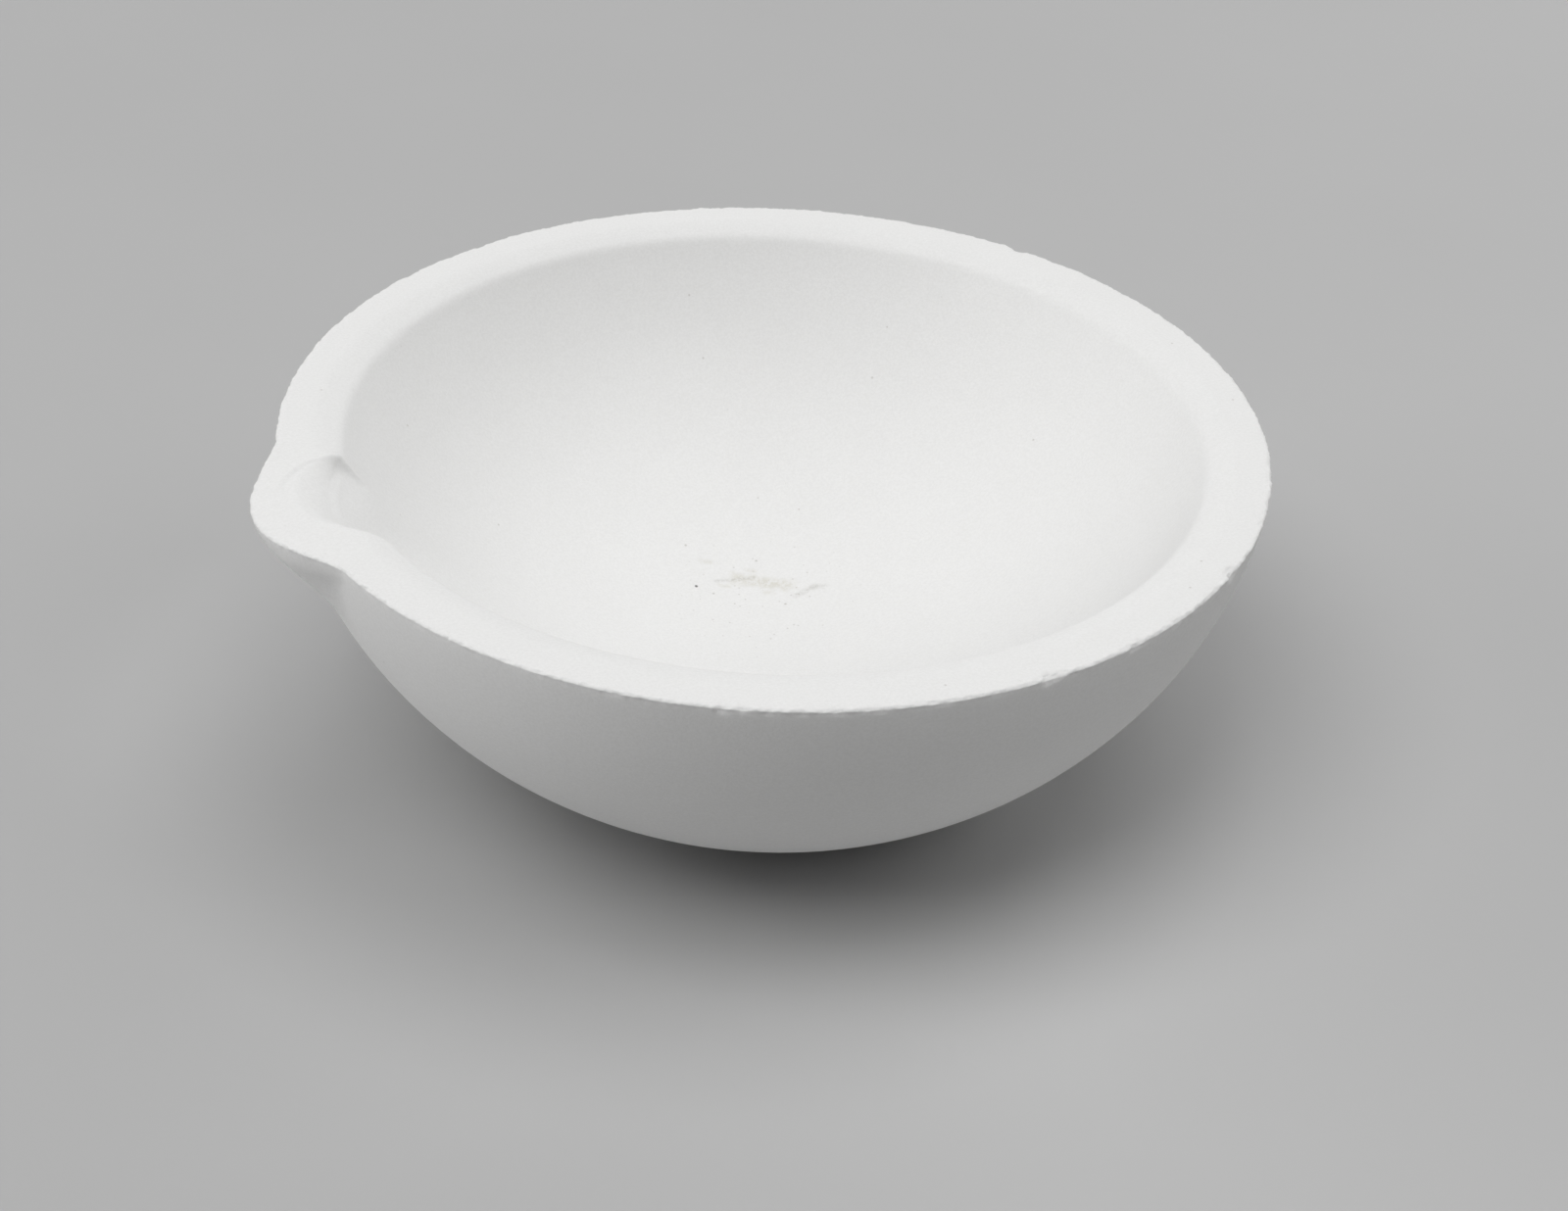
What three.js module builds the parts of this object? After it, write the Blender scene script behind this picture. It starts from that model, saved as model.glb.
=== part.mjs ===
// A round evaporating dish in unglazed white ceramic, pressed in one piece: a thick wall, a flat rim,
// a small flat foot and one pinched pouring spout. Millimetres, +Z up, the spout points towards +X,
// and the origin is the centre of the foot's underside.
import * as THREE from 'three';

const { degToRad, radToDeg, lerp, smoothstep } = THREE.MathUtils;

// Driving dimensions
const height = 37.5;
const rimRadius = 50;
const rimOuterBreak = 0.25;
const bowlDepth = 28;

// The bowl is part of a sphere, flared a little towards the rim. Inside the flat rim a worn slope
// leads down to the lip, where the bowl begins.
const sphereAtRim = 43.42;
const centreAboveRim = (sphereAtRim ** 2 - bowlDepth ** 2) / (2 * bowlDepth);
const bowlRadius = centreAboveRim + bowlDepth;
const flare = { reach: 0.62, depth: 9 };
const slope = { start: 46.6, drop: 0.8, power: 1.5 };
const lipEnd = 1.35;

// The outside is an ellipse turned about the axis, with its centre a little above the rim.
const wallCentreAboveRim = 5;
const wallHalfHeight = 46.05;
const wallHalfWidth = rimRadius / Math.sqrt(1 - (wallCentreAboveRim / wallHalfHeight) ** 2);

// The spout is the rim drawn out at one place, and has faded out at a depth. The power sets how
// square it is.
const outside = { reach: 3.75, halfAngle: degToRad(9.6), power: 2.6, fade: 10 };
const spoutSag = 0.8;
// Its mouth is an even rounding from the rim into the bowl. It ends abruptly on the side of negative
// Y and spreads on the other, where its edge is sharper.
const mouth = { reach: 5.2, halfAngle: 10, spread: 8, spreadPower: 2.5, from: 1, fade: 22 };
const roundedBy = degToRad(63);
// A shallow groove leads from the mouth out over the rim: a rounded half oval, seen from above.
const groove = { start: 45.2, length: 6.3, halfWidth: 7.7, depth: 0.9, roundness: 1.75 };

// Steps round the axis. Crowding packs them closer together at the spout, and 0.425 puts one of
// them square to the spout on each side, so that the faceted rim keeps its full width.
const turns = 96;
const crowding = 0.425;

const ceramic = new THREE.MeshStandardMaterial({ color: 0xe6e5e2, roughness: 0.92, metalness: 0 });

function spread(count, from, to) {
  return Array.from({ length: count }, (_, i) => lerp(from, to, i / (count - 1)));
}

// A station is one point of the cross-section. Across is 0 in the bowl and 1 on the outside.
function wallStations() {
  const centre = height + wallCentreAboveRim;
  const turnAt = (z) => Math.asin((centre - z) / wallHalfHeight);
  return spread(15, turnAt(0), turnAt(height - rimOuterBreak)).map((turn) => ({
    radius: wallHalfWidth * Math.cos(turn),
    z: centre - wallHalfHeight * Math.sin(turn),
    across: 1,
  }));
}

function rimStations() {
  const outer = rimRadius - rimOuterBreak;
  return spread(6, 1, 0).map((across) => ({
    radius: lerp(slope.start, outer, across),
    z: height,
    across,
  }));
}

function bowlRadiusAt(drop) {
  const sphere = Math.sqrt(bowlRadius ** 2 - (centreAboveRim + drop) ** 2);
  return sphere + flare.reach * Math.max(1 - drop / flare.depth, 0) ** 2;
}

// The slope's share runs from 0 at the flat rim to 1 at the lip's end.
function slopeStations() {
  const lip = bowlRadiusAt(slope.drop);
  const worn = [0.25, 0.5, 0.75, 1].map((share) => ({
    radius: lerp(slope.start, lip, share),
    z: height - slope.drop * share ** slope.power,
    across: 0,
    share: share * 0.8,
  }));
  return [...worn, { radius: bowlRadiusAt(lipEnd), z: height - lipEnd, across: 0, share: 1 }];
}

function bowlStations() {
  const start = Math.asin((centreAboveRim + 2.2) / bowlRadius);
  return spread(13, start, Math.PI / 2).slice(0, -1).map((turn) => {
    const drop = bowlRadius * Math.sin(turn) - centreAboveRim;
    return { radius: bowlRadiusAt(drop), z: height - drop, across: 0, inBowl: true };
  });
}

function crossSection() {
  const footCentre = { radius: 0, z: 0, across: 1 };
  const bowlCentre = { radius: 0, z: height - bowlDepth, across: 0 };
  const inside = [...slopeStations(), ...bowlStations(), bowlCentre];
  return [footCentre, ...wallStations(), ...rimStations(), ...inside];
}

function bulge(angle) {
  return Math.exp(-((Math.abs(angle) / outside.halfAngle) ** outside.power));
}

function grooveDip(x, y) {
  if (x < 0) return 0;
  const along = Math.max(x - groove.start, 0) / groove.length;
  const power = groove.roundness;
  const fromCentre = (along ** power + Math.abs(y / groove.halfWidth) ** power) ** (1 / power);
  const depth = groove.depth * Math.max(1 - fromCentre, 0) ** 1.4;
  return depth * (1 - 0.7 * smoothstep(y, 0, 6));
}

// How far beyond the bowl's corner the mouth starts at an angle, the radius of its rounding, and how
// much of the rim's slope it takes over.
function mouthAt(angle, drop) {
  const degrees = radToDeg(angle);
  const aside = Math.abs(degrees);
  const abrupt = Math.sqrt(1 - Math.min(aside / mouth.halfAngle, 1) ** 2);
  const spreading = Math.exp(-((aside / mouth.spread) ** mouth.spreadPower));
  const above = degrees < 0 ? abrupt : spreading;
  const below = Math.cos(Math.min(aside / (degrees < 0 ? 10.5 : 14), 1) * Math.PI / 2) ** 2;
  const reach = mouth.reach * lerp(above, below, smoothstep(drop, 0, 6));
  const tangent = reach / (Math.sin(roundedBy) - (1 - Math.cos(roundedBy)) / Math.tan(roundedBy));
  const rounding = Math.max(tangent * (0.55 - 0.2 * smoothstep(degrees, 0, 8)), 0.01);
  const share = smoothstep(degrees, -12.2, -9) * (1 - smoothstep(degrees, 7, 14));
  return { reach, rounding, share };
}

function mouthPush(angle, drop) {
  const { reach, rounding } = mouthAt(angle, drop);
  const down = Math.min(drop, (1 - Math.cos(roundedBy)) * rounding);
  const push = reach - Math.sqrt(2 * rounding * down - down ** 2) + down / Math.tan(roundedBy);
  return Math.max(push, 0) * (1 - smoothstep(drop, mouth.from, mouth.fade));
}

// Where one station of the plain dish stands at one angle, once the mouth is cut.
function withMouth({ radius, z, across, share, inBowl }, angle) {
  const at = mouthAt(angle, 0);
  const corner = sphereAtRim + flare.reach + at.reach;
  if (inBowl) return [radius + mouthPush(angle, height - z), z];
  if (share === undefined) return [radius + (corner - slope.start) * at.share * (1 - across), z];
  const steepest = Math.max(1 - lipEnd / at.rounding, Math.cos(roundedBy));
  const turn = share * Math.acos(steepest);
  const inMouth = [corner - at.rounding * Math.sin(turn), height - at.rounding * (1 - Math.cos(turn))];
  return [lerp(radius, inMouth[0], at.share), lerp(z, inMouth[1], at.share)];
}

// Where one station goes at one angle from the spout's centre line.
function withSpout(station, angle) {
  if (station.radius === 0) return [0, 0, station.z];
  const [radius, z] = station.across < 1 ? withMouth(station, angle) : [station.radius, station.z];
  const out = station.across * bulge(angle) * smoothstep(z, height - outside.fade, height);
  const x = (radius + outside.reach * out) * Math.cos(angle);
  const y = (radius + outside.reach * out) * Math.sin(angle);
  const dip = station.across < 1 ? grooveDip(x, y) * smoothstep(z, height - 5, height) : 0;
  return [x, y, z - spoutSag * out - dip];
}

// The lathe gives the rings and their faces, and each of its points is then put in its place.
function dishGeometry() {
  const stations = crossSection();
  const outline = stations.map(({ radius, z }) => new THREE.Vector2(radius, z));
  const geometry = new THREE.LatheGeometry(outline, turns);
  const points = geometry.attributes.position;
  for (let i = 0; i < points.count; i++) {
    const step = Math.floor(i / stations.length) % turns;
    const turn = 2 * Math.PI * (step > turns / 2 ? step - turns : step) / turns;
    points.setXYZ(i, ...withSpout(stations[i % stations.length], turn - crowding * Math.sin(turn)));
  }
  geometry.computeVertexNormals();
  return geometry;
}

const dish = new THREE.Mesh(dishGeometry(), ceramic);
dish.name = 'dish';

const evaporatingDish = new THREE.Group();
evaporatingDish.add(dish);

export default evaporatingDish;
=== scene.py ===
import math

import bpy
import numpy as np
from mathutils import Matrix, Vector, noise


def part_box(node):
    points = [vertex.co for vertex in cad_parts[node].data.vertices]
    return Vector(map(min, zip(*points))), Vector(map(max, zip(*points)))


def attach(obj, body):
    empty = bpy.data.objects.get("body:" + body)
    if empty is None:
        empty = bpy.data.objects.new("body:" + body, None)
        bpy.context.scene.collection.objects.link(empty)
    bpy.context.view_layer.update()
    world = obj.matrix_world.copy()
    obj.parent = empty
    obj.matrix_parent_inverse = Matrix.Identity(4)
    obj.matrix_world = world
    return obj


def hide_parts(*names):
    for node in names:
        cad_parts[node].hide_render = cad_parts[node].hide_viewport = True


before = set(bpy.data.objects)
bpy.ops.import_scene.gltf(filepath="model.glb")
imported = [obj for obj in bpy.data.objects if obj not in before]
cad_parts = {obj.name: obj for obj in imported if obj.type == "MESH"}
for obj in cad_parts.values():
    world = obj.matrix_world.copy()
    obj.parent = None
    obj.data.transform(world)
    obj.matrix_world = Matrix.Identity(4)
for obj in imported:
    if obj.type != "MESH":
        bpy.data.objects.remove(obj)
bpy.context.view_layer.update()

MM = 0.001

# ---------------------------------------------------------------- sizes, from the CAD dish
dish_low, dish_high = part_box("dish")
HEIGHT = dish_high.z
RIM_RADIUS = -dish_low.x
SPOUT_REACH = dish_high.x - RIM_RADIUS

# ---------------------------------------------------------------- the dish's own shape
RIM_OUTER_ROUND = 0.32 * MM
BOWL_DEPTH = 28 * MM
# The bowl is a sphere that flares a little towards the rim.
SPHERE_AT_RIM = RIM_RADIUS - 6.58 * MM
BOWL_CENTRE = (SPHERE_AT_RIM ** 2 - BOWL_DEPTH ** 2) / (2 * BOWL_DEPTH)
BOWL_RADIUS = BOWL_CENTRE + BOWL_DEPTH
BOWL_FLARE = 0.62 * MM
FLARE_DEPTH = 9 * MM
CORNER_RADIUS = SPHERE_AT_RIM + BOWL_FLARE
# The rim's worn inner edge slopes gently down to a lip, and turns there into the bowl.
SLOPE_START = RIM_RADIUS - 3.4 * MM
SLOPE_DROP = 0.80 * MM
SLOPE_POWER = 1.5
LIP_WIDTH = 0.45 * MM
LIP_END = 1.35 * MM
BOWL_START = 1.6 * MM
WALL_CENTRE_ABOVE_RIM = 5 * MM
WALL_HALF_HEIGHT = 46.05 * MM
WALL_HALF_WIDTH = RIM_RADIUS / math.sqrt(1 - (WALL_CENTRE_ABOVE_RIM / WALL_HALF_HEIGHT) ** 2)

# The wall is pushed out at the spout. Its bulge ends this many degrees to each side, at the rim and
# lower down where it is narrower and steeper, and has faded out altogether at the fade.
BULGE_AT_RIM = {"half_angle": 15, "square": 2.0, "power": 1.9}
BULGE_BELOW = {"half_angle": 12.5, "square": 3.0, "power": 1.9}
BULGE_NARROWS_BY = 4 * MM
BULGE_FADE = 10 * MM
SPOUT_SAG = 0.8 * MM

# Inside, the rim's slope gives way to a rounded mouth, which starts this far beyond the bowl's corner.
# It ends abruptly on the side of negative Y and spreads on the other, where its edge is sharper.
MOUTH_REACH = 5.2 * MM
MOUTH_HALF_ANGLE = 10
MOUTH_SPREAD = 8.0
MOUTH_SPREAD_POWER = 2.5
MOUTH_LOWER_HALF_ANGLES = (10.5, 14)
MOUTH_ROUND = 0.55
MOUTH_ROUND_LESS = 0.2
MOUTH_SOFTENS_BY = 6 * MM
# Degrees over which it takes the rim's slope over on one side and gives it back on the other, and
# over which its rounding gets smaller.
MOUTH_TAKES_OVER = (-12.2, -9.0)
MOUTH_GIVES_BACK = (7, 14)
MOUTH_ROUND_LESS_BY = 8
MOUTH_FADE_START = 1 * MM
MOUTH_FADE_END = 22 * MM
# The rounding ends where it is as steep as the bowl.
ROUNDED_BY = math.radians(63)

# A shallow groove in the rim leads out from the mouth. Its outline is a rounded half oval.
ROUNDNESS = 1.75
GROOVE_START = RIM_RADIUS - 4.77 * MM
GROOVE_LENGTH = 6.3 * MM
GROOVE_HALF_WIDTH = 7.7 * MM
GROOVE_DEPTH = 0.9 * MM
GROOVE_POWER = 1.4
# A small step at its edge, mostly on the side of negative Y. The groove itself is fainter on the other.
GROOVE_STEP = 0.17 * MM
STEP_FADES = (-6 * MM, -1 * MM)
STEP_LOSS = 0.75
GROOVE_LOSS = 0.7
GROOVE_LOSS_BY = 6 * MM
GROOVE_BOTTOM = 5 * MM

# ---------------------------------------------------------------- how finely the mesh is divided
COARSE = 384
MEDIUM = 2 * COARSE
FINE = 4 * COARSE
CROWDING = 0.42
# Rings on the foot's underside, and those beside the rim's rounding, by their distance from it.
FOOT_RINGS = (5, 10, 15, 18.5)
CLOSE_RINGS = (0.06, 0.14, 0.25, 0.40, 0.60, 0.84)
FIRST_FLAT_RING = 1.08 * MM
# The wall's rings are closer together near the rim, and the bowl's near the lip: angles on their curves.
WALL_CLOSER_FROM = 0.17
WALL_CLOSE_START = 0.164
BOWL_CLOSE_TURN = 0.19
BOWL_OPEN_TURN = 0.21
# Where the wall, the rim and the bowl have more points in each ring.
WALL_FINE_BELOW_RIM = 2.4 * MM
RIM_FINE_WIDTH = 0.9 * MM
BOWL_MEDIUM_DEPTH = 8 * MM


def smooth_step(value, low, high):
    share = np.clip((value - low) / (high - low), 0, 1)
    return share * share * (3 - 2 * share)


def wall_rings():
    """The foot's edge up to the rim's outer rounding: (radius, z) pairs on the ellipse."""
    centre = HEIGHT + WALL_CENTRE_ABOVE_RIM
    foot_turn = math.asin(centre / WALL_HALF_HEIGHT)
    rim_turn = math.asin((WALL_CENTRE_ABOVE_RIM + RIM_OUTER_ROUND) / WALL_HALF_HEIGHT)
    lower = np.linspace(foot_turn, WALL_CLOSER_FROM, 32)
    upper = np.linspace(WALL_CLOSE_START, rim_turn, 9)
    turns = np.concatenate([lower, upper])
    return [(WALL_HALF_WIDTH * math.cos(t), centre - WALL_HALF_HEIGHT * math.sin(t)) for t in turns]


def rim_rings():
    """The rim from its rounded outer edge to the slope inside it: (radius, z) pairs."""
    centre = RIM_RADIUS - RIM_OUTER_ROUND
    turns = np.linspace(0, math.pi / 2, 7)[1:]
    rounded = [(centre + RIM_OUTER_ROUND * math.cos(t), RIM_OUTER_ROUND * (math.sin(t) - 1)) for t in turns]
    beside = [(centre - gap * MM, 0) for gap in CLOSE_RINGS]
    flat = [(r, 0) for r in np.linspace(centre - FIRST_FLAT_RING, SLOPE_START, 11)]
    return [(radius, HEIGHT + rise) for radius, rise in rounded + beside + flat]


def bowl_radius(drop):
    """The bowl's radius at a depth below the rim."""
    sphere = math.sqrt(BOWL_RADIUS ** 2 - (BOWL_CENTRE + drop) ** 2)
    return sphere + BOWL_FLARE * max(1 - drop / FLARE_DEPTH, 0) ** 2


def slope_rings():
    """The worn slope inside the rim, and the lip where it turns into the bowl."""
    slope_end = bowl_radius(SLOPE_DROP)
    width = SLOPE_START - slope_end
    shares = np.linspace(0, 1 - LIP_WIDTH / width, 11)[1:]
    drops = [(SLOPE_START - width * t, SLOPE_DROP * t ** SLOPE_POWER) for t in shares]
    first = Vector(drops[-1])
    corner = Vector((slope_end, SLOPE_DROP))
    last = Vector((bowl_radius(LIP_END), LIP_END))
    for t in (0.25, 0.5, 0.75, 1):
        drops.append(first.lerp(corner, t).lerp(corner.lerp(last, t), t))
    return [(radius, HEIGHT - drop) for radius, drop in drops]


def bowl_rings():
    """The bowl from below the lip almost to its centre: (radius, z) pairs."""
    start = math.asin((BOWL_CENTRE + BOWL_START) / BOWL_RADIUS)
    upper = np.linspace(start, start + BOWL_CLOSE_TURN, 22)
    lower = np.linspace(start + BOWL_OPEN_TURN, math.pi / 2, 32)[:-1]
    turns = [*upper, *lower]
    drops = [BOWL_RADIUS * math.sin(t) - BOWL_CENTRE for t in turns]
    return [(bowl_radius(drop), HEIGHT - drop) for drop in drops]


def stations():
    """The cross-section, from the foot up over the rim and down into the bowl.

    Each row has a radius and z, across (1 outside to 0 at the slope), slope (0 before the slope, 1 at
    its end and 2 in the bowl) and how many points go round.
    """
    rows = [(radius * MM, 0, 1, 0, COARSE) for radius in FOOT_RINGS]
    for radius, z in wall_rings():
        rows.append((radius, z, 1, 0, FINE if z > HEIGHT - WALL_FINE_BELOW_RIM else COARSE))
    outer = RIM_RADIUS - RIM_OUTER_ROUND
    for radius, z in rim_rings():
        across = min((radius - SLOPE_START) / (outer - SLOPE_START), 1)
        rows.append((radius, z, across, 0, FINE if radius > outer - RIM_FINE_WIDTH else MEDIUM))
    slope = slope_rings()
    for i, (radius, z) in enumerate(slope):
        rows.append((radius, z, 0, (i + 1) / len(slope), MEDIUM))
    for radius, z in bowl_rings():
        rows.append((radius, z, 0, 2, MEDIUM if z > HEIGHT - BOWL_MEDIUM_DEPTH else COARSE))
    return rows


def angles(count):
    """Angles round the axis, closer together at the spout."""
    even = np.arange(count) * 2 * math.pi / count
    even = np.where(even > math.pi, even - 2 * math.pi, even)
    return even - CROWDING * np.sin(even)


def bulge(angle, below_rim):
    """How far the spout's bulge pushes the wall out, from 0 to 1."""
    share = smooth_step(below_rim, 0.5 * MM, BULGE_NARROWS_BY)
    shape = {k: BULGE_AT_RIM[k] + (BULGE_BELOW[k] - BULGE_AT_RIM[k]) * share for k in BULGE_AT_RIM}
    aside = np.minimum(np.abs(np.degrees(angle)) / shape["half_angle"], 1)
    return (1 - aside ** shape["square"]) ** shape["power"] * (1 - smooth_step(below_rim, 0, BULGE_FADE))


def mouth(angle, below_rim):
    """The rounded mouth: how far out it starts, its radius, and its share in the rim's slope."""
    degrees = np.degrees(angle)
    abrupt = np.sqrt(1 - np.minimum(np.abs(degrees) / MOUTH_HALF_ANGLE, 1) ** 2)
    spreading = np.exp(-(np.abs(degrees) / MOUTH_SPREAD) ** MOUTH_SPREAD_POWER)
    aside = np.abs(degrees) / np.where(degrees < 0, *MOUTH_LOWER_HALF_ANGLES)
    lower = np.cos(np.minimum(aside, 1) * math.pi / 2) ** 2
    profile = np.where(degrees < 0, abrupt, spreading)
    profile = profile + (lower - profile) * smooth_step(below_rim, 0, MOUTH_SOFTENS_BY)
    reach = MOUTH_REACH * profile
    tangent = reach / (math.sin(ROUNDED_BY) - (1 - math.cos(ROUNDED_BY)) / math.tan(ROUNDED_BY))
    share = smooth_step(degrees, *MOUTH_TAKES_OVER) * (1 - smooth_step(degrees, *MOUTH_GIVES_BACK))
    rounding = tangent * (MOUTH_ROUND - MOUTH_ROUND_LESS * smooth_step(degrees, 0, MOUTH_ROUND_LESS_BY))
    return reach, rounding, share


def mouth_push(angle, below_rim):
    """How far the mouth pushes the bowl's wall out."""
    reach, rounding, _ = mouth(angle, below_rim)
    down = np.minimum(below_rim, (1 - math.cos(ROUNDED_BY)) * rounding)
    push = reach - np.sqrt(2 * rounding * down - down ** 2) + down / math.tan(ROUNDED_BY)
    return np.maximum(push, 0) * (1 - smooth_step(below_rim, MOUTH_FADE_START, MOUTH_FADE_END))


def mouth_slope(angle, slope, last_drop):
    """A ring of the slope as it is in the mouth: its radius and z."""
    reach, rounding, _ = mouth(angle, 0)
    rounding = np.maximum(rounding, 0.01 * MM)
    turn = slope * np.arccos(np.maximum(1 - last_drop / rounding, math.cos(ROUNDED_BY)))
    return CORNER_RADIUS + reach - rounding * np.sin(turn), HEIGHT - rounding * (1 - np.cos(turn))


def groove(x, y):
    """How deep the groove is in the rim at (x, y). It is fainter on the side of positive Y."""
    along = np.maximum(x - GROOVE_START, 0) / GROOVE_LENGTH
    aside = np.abs(y) / GROOVE_HALF_WIDTH
    inside = np.clip(1 - (along ** ROUNDNESS + aside ** ROUNDNESS) ** (1 / ROUNDNESS), 0, 1)
    step = GROOVE_STEP * (1 - STEP_LOSS * smooth_step(y, *STEP_FADES))
    depth = GROOVE_DEPTH * inside ** GROOVE_POWER + step * smooth_step(inside, 0, 0.05)
    return np.where(x > 0, depth, 0) * (1 - GROOVE_LOSS * smooth_step(y, 0, GROOVE_LOSS_BY))


def ring_points(radius, z, across, slope, count):
    """One ring of the dish, with the spout drawn out of it."""
    angle = angles(count)
    reach, _, share = mouth(angle, 0)
    radius, z = np.full(count, radius), np.full(count, z)
    if slope > 1:
        radius = radius + mouth_push(angle, HEIGHT - z)
    elif slope > 0:
        in_mouth = mouth_slope(angle, slope, LIP_END)
        radius, z = radius + (in_mouth[0] - radius) * share, z + (in_mouth[1] - z) * share
    else:
        radius = radius + (CORNER_RADIUS + reach - SLOPE_START) * share * (1 - across)
    outside = bulge(angle, HEIGHT - z) * across
    radius = radius + SPOUT_REACH * outside
    x, y = radius * np.cos(angle), radius * np.sin(angle)
    dip = groove(x, y) * (1 - smooth_step(HEIGHT - z, 0, GROOVE_BOTTOM)) * (across < 1)
    return np.stack([x, y, z - SPOUT_SAG * outside - dip], axis=1)


def ring_faces(first, count, following, next_count):
    """Faces between two rings. Where one ring is finer, each face takes several of its points."""
    fewer = min(count, next_count)
    step, next_step = count // fewer, next_count // fewer
    faces = []
    for i in range(fewer):
        lower = [first + (i * step + k) % count for k in range(step + 1)]
        upper = [following + (i * next_step + k) % next_count for k in range(next_step + 1)]
        faces.append(lower + upper[::-1])
    return faces


def dish_mesh():
    rows = stations()
    rings = [ring_points(*row) for row in rows]
    starts = np.cumsum([0] + [len(ring) for ring in rings])
    faces = []
    for i in range(len(rings) - 1):
        faces += ring_faces(starts[i], len(rings[i]), starts[i + 1], len(rings[i + 1]))
    points = np.concatenate([*rings, [[0, 0, 0]], [[0, 0, HEIGHT - BOWL_DEPTH]]])
    foot_centre, bowl_centre = starts[-1], starts[-1] + 1
    last = starts[-2]
    for i in range(COARSE):
        j = (i + 1) % COARSE
        faces.append([foot_centre, j, i])
        faces.append([bowl_centre, last + i, last + j])
    mesh = bpy.data.meshes.new("dish_body")
    mesh.from_pydata([tuple(p) for p in points], [], [[int(v) for v in face] for face in faces])
    mesh.update()
    return mesh


# ---------------------------------------------------------------- chips, crumbs and unevenness
# The scraped outer edge is roughest on one side, and has a few larger nicks:
# degrees round from the spout, half width and depth.
ROUGHEST_AT = 105
NICKS = [(95, 0.7, 0.22), (125, 0.8, 0.30), (61, 0.6, 0.15), (-148, 0.8, 0.2), (-71, 0.6, 0.15)]


def edge_place(point):
    """How far a point is from the rim's outer edge, in mm, and where round the rim it is."""
    angle = math.atan2(point.y, point.x)
    pushed = float(bulge(angle, 0))
    beyond = math.hypot(point.x, point.y) - RIM_RADIUS - SPOUT_REACH * pushed
    above = point.z - HEIGHT + SPOUT_SAG * pushed
    return math.hypot(beyond, above) / MM, math.degrees(angle)


def edge_wear(point):
    """How deep the scraped edge is worn at a point, in mm; below zero, a crumb stands out."""
    away, degrees = edge_place(point)
    if away > 2.5 or point.z < HEIGHT - 3 * MM:
        return 0
    rough = 0.65 + 0.35 * math.exp(-((degrees - ROUGHEST_AT) / 38) ** 2)
    waves = 0.5 * noise.noise(point / (2.4 * MM)) + 0.7 * noise.noise(point / (0.9 * MM))
    crumbs = 0.6 * noise.noise(point / (0.45 * MM)) + 0.4 * noise.noise(point / (0.24 * MM))
    wear = rough * (0.10 + 0.20 * (waves + crumbs)) * math.exp(-(away / 0.55) ** 2)
    for at, half_width, depth in NICKS:
        beside = math.radians(degrees - at) * RIM_RADIUS / MM / half_width
        if abs(beside) < 2:
            ragged = 1 + 0.5 * noise.noise(point / (0.5 * MM))
            wear += depth * ragged * math.exp(-beside ** 4 - (away / 0.75) ** 2)
    return wear


def unevenness(point):
    """A slow waviness of the walls, in mm. The foot stays flat."""
    return 0.03 * noise.noise(point / (13 * MM)) * smooth_step(point.z, 0.3 * MM, 4 * MM)


def weather(mesh):
    """Wears the rim's outer edge away, diagonally, and moves the rest a little along its normals."""
    count = len(mesh.vertices)
    places = np.empty(3 * count, dtype=np.float32)
    normals = np.empty(3 * count, dtype=np.float32)
    mesh.vertices.foreach_get("co", places)
    mesh.vertex_normals.foreach_get("vector", normals)
    places, normals = places.reshape(-1, 3), normals.reshape(-1, 3)
    wear = np.array([edge_wear(Vector(p)) for p in places])
    uneven = np.array([unevenness(Vector(p)) for p in places])
    outward = places / np.maximum(np.hypot(places[:, 0], places[:, 1]), MM)[:, None]
    outward[:, 2] = 0.7
    places = places - (outward * wear[:, None] + normals * uneven[:, None]) * MM
    places[:, 2] = np.minimum(places[:, 2], HEIGHT - 0.002 * MM)
    mesh.vertices.foreach_set("co", places.astype(np.float32).ravel())
    mesh.update()


# ---------------------------------------------------------------- materials
def shader_node(tree, kind, inputs, **settings):
    """A node with its settings, and its inputs by name or number: a value or another node's output."""
    node = tree.nodes.new("ShaderNode" + kind)
    for name, value in settings.items():
        setattr(node, name, value)
    for socket, value in inputs.items():
        if isinstance(value, bpy.types.NodeSocket):
            tree.links.new(value, node.inputs[socket])
        else:
            node.inputs[socket].default_value = value
    return node


def math_node(tree, operation, *values, clamp=False):
    inputs = dict(enumerate(values))
    return shader_node(tree, "Math", inputs, operation=operation, use_clamp=clamp).outputs[0]


def vector_node(tree, operation, first, second, output="Vector"):
    inputs = {0: first, 1: second}
    return shader_node(tree, "VectorMath", inputs, operation=operation).outputs[output]


def between(tree, value, low, high, to_low=0.0, to_high=1.0):
    """value taken from the range low..high to to_low..to_high, smoothly."""
    inputs = {"Value": value, "From Min": low, "From Max": high, "To Min": to_low, "To Max": to_high}
    return shader_node(tree, "MapRange", inputs, interpolation_type="SMOOTHSTEP").outputs["Result"]


def noise_node(tree, place, size, detail=2.0, roughness=0.5):
    """Noise whose features are about size across, in metres."""
    inputs = {"Vector": place, "Scale": 1 / size, "Detail": detail, "Roughness": roughness}
    return shader_node(tree, "TexNoise", inputs, noise_dimensions="3D").outputs["Fac"]


def mix_colour(tree, factor, first, second):
    inputs = {"Factor": factor, 6: first, 7: second}
    return shader_node(tree, "Mix", inputs, data_type="RGBA").outputs[2]


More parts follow.
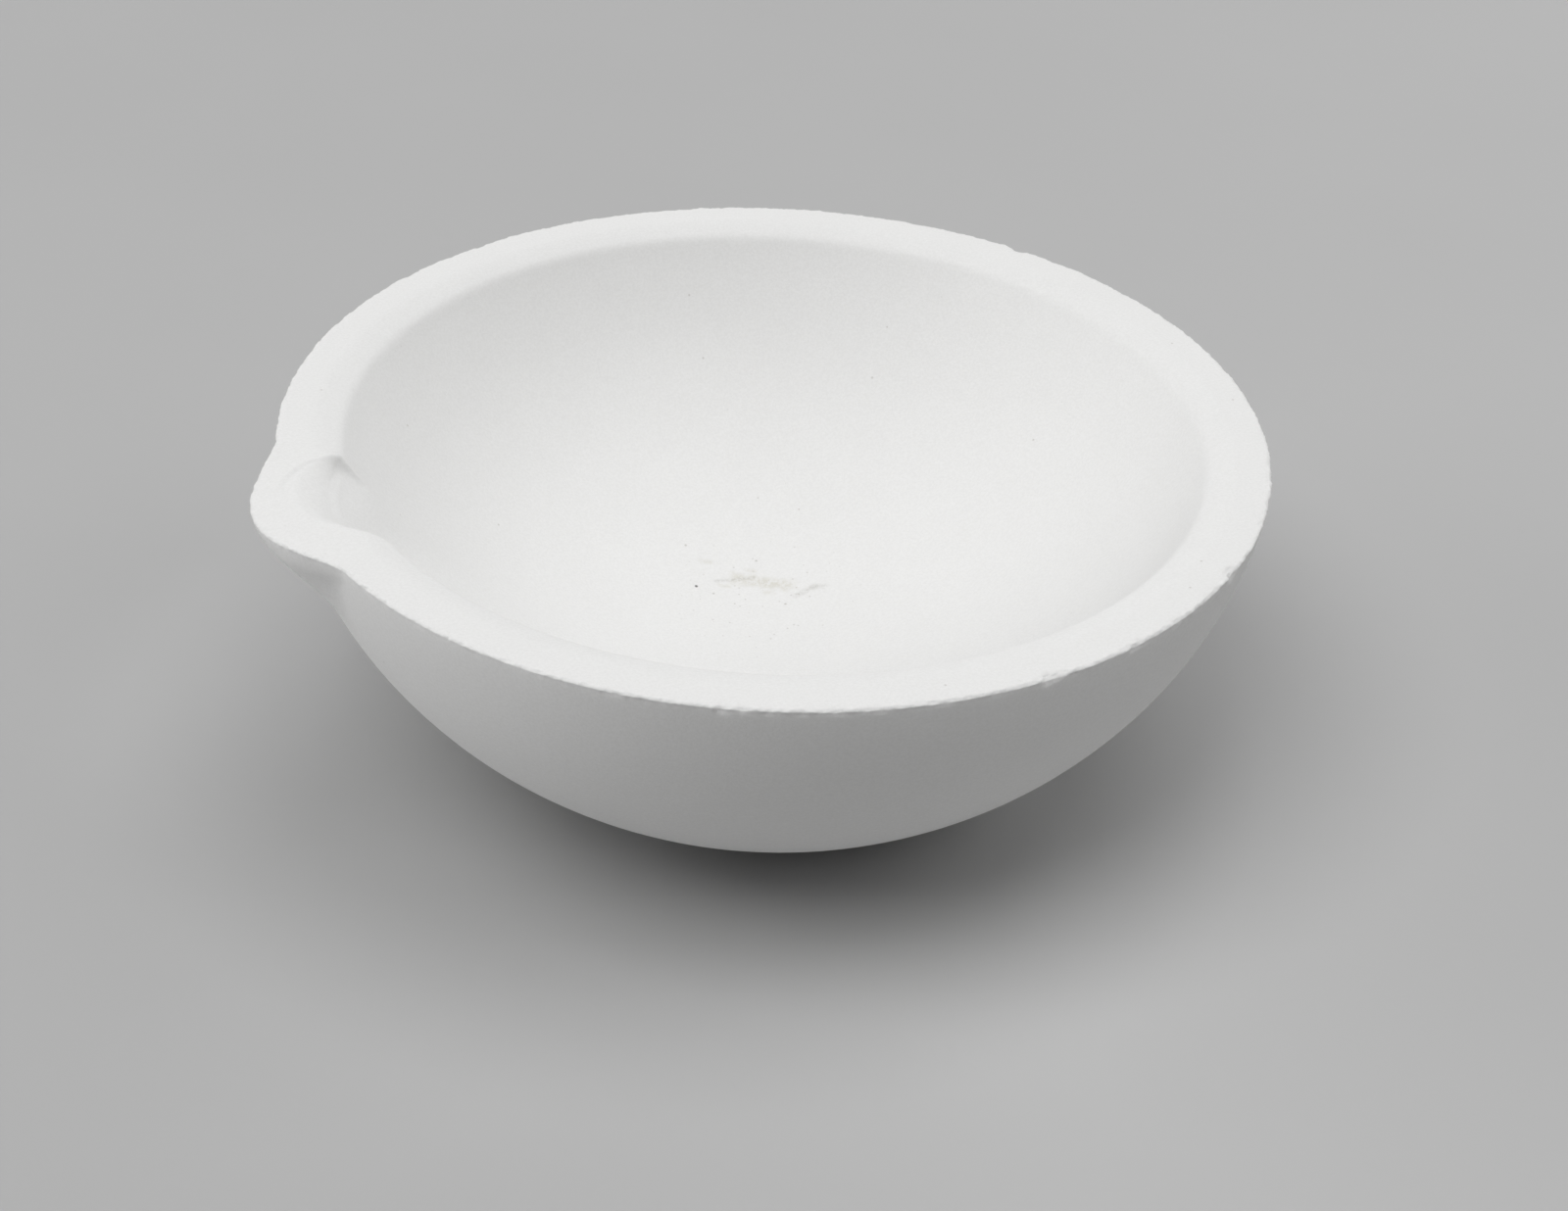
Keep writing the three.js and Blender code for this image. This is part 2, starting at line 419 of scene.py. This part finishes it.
def specks(tree, place, spacing, radius, share):
    """A mask of small round specks: one in each cell of that spacing, and only that share of them."""
    cells = shader_node(tree, "TexVoronoi", {"Vector": place, "Scale": 1 / spacing}, feature="F1")
    pick = shader_node(tree, "SeparateColor", {"Color": cells.outputs["Color"]})
    near = between(tree, cells.outputs["Distance"], radius / spacing * 0.6, radius / spacing, 1, 0)
    chosen = math_node(tree, "LESS_THAN", pick.outputs[0], share)
    return math_node(tree, "MULTIPLY", near, chosen)


def distance_to_path(tree, place, points):
    """The distance from place to the line through the points, in metres."""
    nearest = None
    for start, end in zip(points, points[1:]):
        along = end - start
        offset = vector_node(tree, "SUBTRACT", place, start)
        share = vector_node(tree, "DOT_PRODUCT", offset, along / along.length_squared, "Value")
        share = math_node(tree, "ADD", share, 0.0, clamp=True)
        scaled = shader_node(tree, "VectorMath", {0: along, "Scale": share}, operation="SCALE")
        gap = vector_node(tree, "DISTANCE", offset, scaled.outputs["Vector"], "Value")
        nearest = gap if nearest is None else math_node(tree, "MINIMUM", nearest, gap)
    return nearest


def on_bowl(x, y):
    """The point of the bowl's surface above (x, y), given in mm."""
    x, y = x * MM, y * MM
    return Vector((x, y, HEIGHT + BOWL_CENTRE - math.sqrt(BOWL_RADIUS ** 2 - x ** 2 - y ** 2)))


CLAY = (0.822, 0.821, 0.815, 1)
CLAY_SHADE = (0.775, 0.773, 0.765, 1)
RESIDUE = (0.60, 0.58, 0.50, 1)
RESIDUE_DARK = (0.36, 0.35, 0.31, 1)
SPECK = (0.42, 0.40, 0.37, 1)
BLACK_SPECK = (0.10, 0.10, 0.10, 1)
RUBBED = (0.60, 0.59, 0.58, 1)
FLOOR = (0.44, 0.44, 0.44, 1)
FLOOR_LIGHTER = (0.46, 0.46, 0.46, 1)

# Dried-on residue on the bowl's floor. Its marks are placed along and aside of one streak, in mm from
# the streak's start: their line, half width, strength and colour.
STREAK_START = (-1, -11)
STREAK_HEADING = math.radians(150)
STREAK_LENGTH = 6
MARKS = [
    ([(0, 0), (STREAK_LENGTH, 0)], 1.4, 0.50, RESIDUE),
    ([(-2, -1), (2, 0.5)], 0.4, 0.27, RESIDUE_DARK),
    ([(7, -1.5), (9, 0)], 0.6, 0.28, RESIDUE_DARK),
    ([(9, 0), (10, 0)], 0.6, 0.17, RESIDUE_DARK),
]
SMUDGES = 4
SPECKS = 4
SPECKLED_AT = (4, -3)


def beside_streak(along, aside):
    """A point on the bowl's floor, given along and aside of the streak."""
    x = STREAK_START[0] + along * math.cos(STREAK_HEADING) - aside * math.sin(STREAK_HEADING)
    y = STREAK_START[1] + along * math.sin(STREAK_HEADING) + aside * math.cos(STREAK_HEADING)
    return on_bowl(x, y)


def residue_marks():
    """The marks, with fainter smudges spaced evenly along the streak, to either side in turn."""
    marks = list(MARKS)
    for i in range(SMUDGES):
        along, aside = 2.5 * i - 4, 1.5 * (-1) ** i
        marks.append(([(along, aside), (along + 1, aside)], 0.5, 0.26, RESIDUE))
    return marks


def residue_specks():
    """One black speck before the streak, and fainter ones spaced evenly beside it."""
    dots = [((-4, -2.5), 0.24, 0.90, BLACK_SPECK)]
    for i in range(SPECKS):
        dots.append(((4 * i - 6, 3 * (-1) ** i), 0.2, 0.5, SPECK))
    return dots


def ceramic_colour(tree, place):
    """The clay's colour with its grain and specks, then the rubbing and the residue."""
    mottle = noise_node(tree, place, 9 * MM, detail=5, roughness=0.6)
    grain = noise_node(tree, place, 0.30 * MM, detail=3, roughness=0.7)
    mottle = between(tree, mottle, 0.35, 0.7, 0, 0.12)
    grain = between(tree, grain, 0.3, 0.7, 0, 0.88)
    shade = math_node(tree, "ADD", mottle, grain)
    colour = mix_colour(tree, shade, CLAY, CLAY_SHADE)
    few = math_node(tree, "MULTIPLY", specks(tree, place, 4 * MM, 0.17 * MM, 0.4), 0.4)
    field = vector_node(tree, "DISTANCE", place, beside_streak(*SPECKLED_AT), "Value")
    field = between(tree, field, 5 * MM, 14 * MM, 1, 0)
    many = math_node(tree, "MULTIPLY", specks(tree, place, 0.9 * MM, 0.14 * MM, 0.6), field)
    many = math_node(tree, "MULTIPLY", many, 0.35)
    colour = mix_colour(tree, math_node(tree, "MAXIMUM", few, many), colour, SPECK)
    return residue_colour(tree, place, rubbed_colour(tree, place, colour))


def rubbed_colour(tree, place, colour):
    """Grey rubbing on the foot, where the dish slides on the bench."""
    height = shader_node(tree, "SeparateXYZ", {"Vector": place}).outputs["Z"]
    low = between(tree, height, 0.05 * MM, 0.5 * MM, 1, 0)
    patchy = between(tree, noise_node(tree, place, 3 * MM, detail=6, roughness=0.7), 0.48, 0.68)
    rubbed = math_node(tree, "MULTIPLY", math_node(tree, "MULTIPLY", low, patchy), 0.6)
    return mix_colour(tree, rubbed, colour, RUBBED)


def residue_colour(tree, place, colour):
    """Ragged, broken marks and single specks of dried residue."""
    ragged = noise_node(tree, place, 0.9 * MM, detail=5, roughness=0.7)
    wander = math_node(tree, "SUBTRACT", ragged, 0.5)
    broken = noise_node(tree, place, 0.45 * MM, detail=3, roughness=0.6)
    broken = between(tree, broken, 0.36, 0.62, 0.25, 1.15)
    for points, half_width, strength, shade in residue_marks():
        gap = distance_to_path(tree, place, [beside_streak(*p) for p in points])
        gap = math_node(tree, "ADD", gap, math_node(tree, "MULTIPLY", wander, 2.2 * half_width * MM))
        mask = between(tree, gap, 0.1 * half_width * MM, half_width * MM, strength, 0)
        colour = mix_colour(tree, math_node(tree, "MULTIPLY", mask, broken), colour, shade)
    for at, radius, strength, shade in residue_specks():
        gap = vector_node(tree, "DISTANCE", place, beside_streak(*at), "Value")
        mask = between(tree, gap, 0.4 * radius * MM, radius * MM, strength, 0)
        colour = mix_colour(tree, mask, colour, shade)
    return colour


def ceramic_bump(tree, place):
    grain = noise_node(tree, place, 0.28 * MM, detail=4, roughness=0.75)
    ripple = noise_node(tree, place, 2.2 * MM, detail=3, roughness=0.5)
    pits = specks(tree, place, 1.9 * MM, 0.13 * MM, 0.25)
    grain = math_node(tree, "MULTIPLY", grain, 0.030)
    ripple = math_node(tree, "MULTIPLY", ripple, 0.012)
    height = math_node(tree, "ADD", grain, ripple)
    height = math_node(tree, "SUBTRACT", height, math_node(tree, "MULTIPLY", pits, 0.03))
    inputs = {"Height": height, "Distance": 1.0 * MM, "Strength": 1.0}
    return shader_node(tree, "Bump", inputs).outputs["Normal"]


def ceramic_material():
    material = bpy.data.materials.new("unglazed_ceramic")
    material.use_nodes = True
    tree = material.node_tree
    shader = tree.nodes["Principled BSDF"]
    place = shader_node(tree, "TexCoord", {}).outputs["Object"]
    tree.links.new(ceramic_colour(tree, place), shader.inputs["Base Color"])
    rough = between(tree, noise_node(tree, place, 0.5 * MM, detail=3), 0.3, 0.7, 0.86, 0.98)
    tree.links.new(rough, shader.inputs["Roughness"])
    tree.links.new(ceramic_bump(tree, place), shader.inputs["Normal"])
    shader.inputs["Specular IOR Level"].default_value = 0.3
    return material


def floor_material():
    material = bpy.data.materials.new("pale_floor")
    material.use_nodes = True
    tree = material.node_tree
    shader = tree.nodes["Principled BSDF"]
    place = shader_node(tree, "TexCoord", {}).outputs["Object"]
    cloudy = noise_node(tree, place, 60 * MM, detail=4)
    colour = mix_colour(tree, cloudy, FLOOR, FLOOR_LIGHTER)
    tree.links.new(colour, shader.inputs["Base Color"])
    shader.inputs["Roughness"].default_value = 0.75
    return material


# ---------------------------------------------------------------- the scene
def make_dish():
    mesh = dish_mesh()
    weather(mesh)
    mesh.shade_smooth()
    mesh.materials.append(ceramic_material())
    dish = bpy.data.objects.new("dish_body", mesh)
    bpy.context.scene.collection.objects.link(dish)
    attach(dish, "root")
    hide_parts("dish")


FLOOR_REACH = 1000


def make_floor():
    """A floor that reaches far beyond the dish and the lights."""
    side = FLOOR_REACH * RIM_RADIUS
    corners = [(-side, -side, 0), (side, -side, 0), (side, side, 0), (-side, side, 0)]
    mesh = bpy.data.meshes.new("floor")
    mesh.from_pydata(corners, [], [(0, 1, 2, 3)])
    mesh.materials.append(floor_material())
    floor = bpy.data.objects.new("floor", mesh)
    bpy.context.scene.collection.objects.link(floor)


# The camera: degrees round the axis, down and of roll, and where it stands in rim radii.
CAMERA_HEADING = 154.5
CAMERA_PITCH = 34.06
CAMERA_ROLL = 3.03
CAMERA_PLACE = (0.0352, -4.3362, 2.4709)
CAMERA_LENS = 56.25
SENSOR_WIDTH = 36


def make_camera():
    """The camera's place is measured from the rim's centre, before the heading turns it."""
    data = bpy.data.cameras.new("camera")
    data.lens = CAMERA_LENS
    data.sensor_width = SENSOR_WIDTH
    data.clip_start = 0.01
    camera = bpy.data.objects.new("camera", data)
    bpy.context.scene.collection.objects.link(camera)
    heading = Matrix.Rotation(math.radians(CAMERA_HEADING), 4, "Z")
    place = heading @ (Vector(CAMERA_PLACE) * RIM_RADIUS) + Vector((0, 0, HEIGHT))
    pitch = Matrix.Rotation(math.radians(90 - CAMERA_PITCH), 4, "X")
    roll = Matrix.Rotation(math.radians(CAMERA_ROLL), 4, "Z")
    camera.matrix_world = Matrix.Translation(place) @ heading @ pitch @ roll
    bpy.context.scene.camera = camera


# Soft round lights, far off: degrees round from the camera's right hand, degrees up, and watts.
LIGHTS = [
    ("overhead", 0, 80, 128),
    ("left", 180, 15, 130),
    ("right", 0, 35, 75),
    ("front_left", 225, 62, 190),
    ("back_right", 60, 15, 105),
]
LIGHT_DISTANCE = 6
LIGHT_SIZE = 4


def make_light(name, around, up, power):
    data = bpy.data.lights.new(name, "AREA")
    data.shape = "DISK"
    data.size = LIGHT_SIZE
    data.energy = power
    light = bpy.data.objects.new(name, data)
    bpy.context.scene.collection.objects.link(light)
    turn, rise = math.radians(around + CAMERA_HEADING), math.radians(up)
    towards = Vector((math.cos(turn) * math.cos(rise), math.sin(turn) * math.cos(rise), math.sin(rise)))
    light.location = towards * LIGHT_DISTANCE
    light.rotation_euler = towards.to_track_quat("Z", "Y").to_euler()


def make_world():
    """A plain grey beyond the floor that is seen but gives no light, and plain display tones."""
    world = bpy.data.worlds.new("studio")
    world.use_nodes = True
    tree = world.node_tree
    seen = shader_node(tree, "LightPath", {}).outputs["Is Camera Ray"]
    background = tree.nodes["Background"]
    background.inputs["Color"].default_value = (0.36, 0.36, 0.36, 1)
    tree.links.new(seen, background.inputs["Strength"])
    bpy.context.scene.world = world
    bpy.context.scene.view_settings.view_transform = "Standard"


make_dish()
make_floor()
make_camera()
for light in LIGHTS:
    make_light(*light)
make_world()
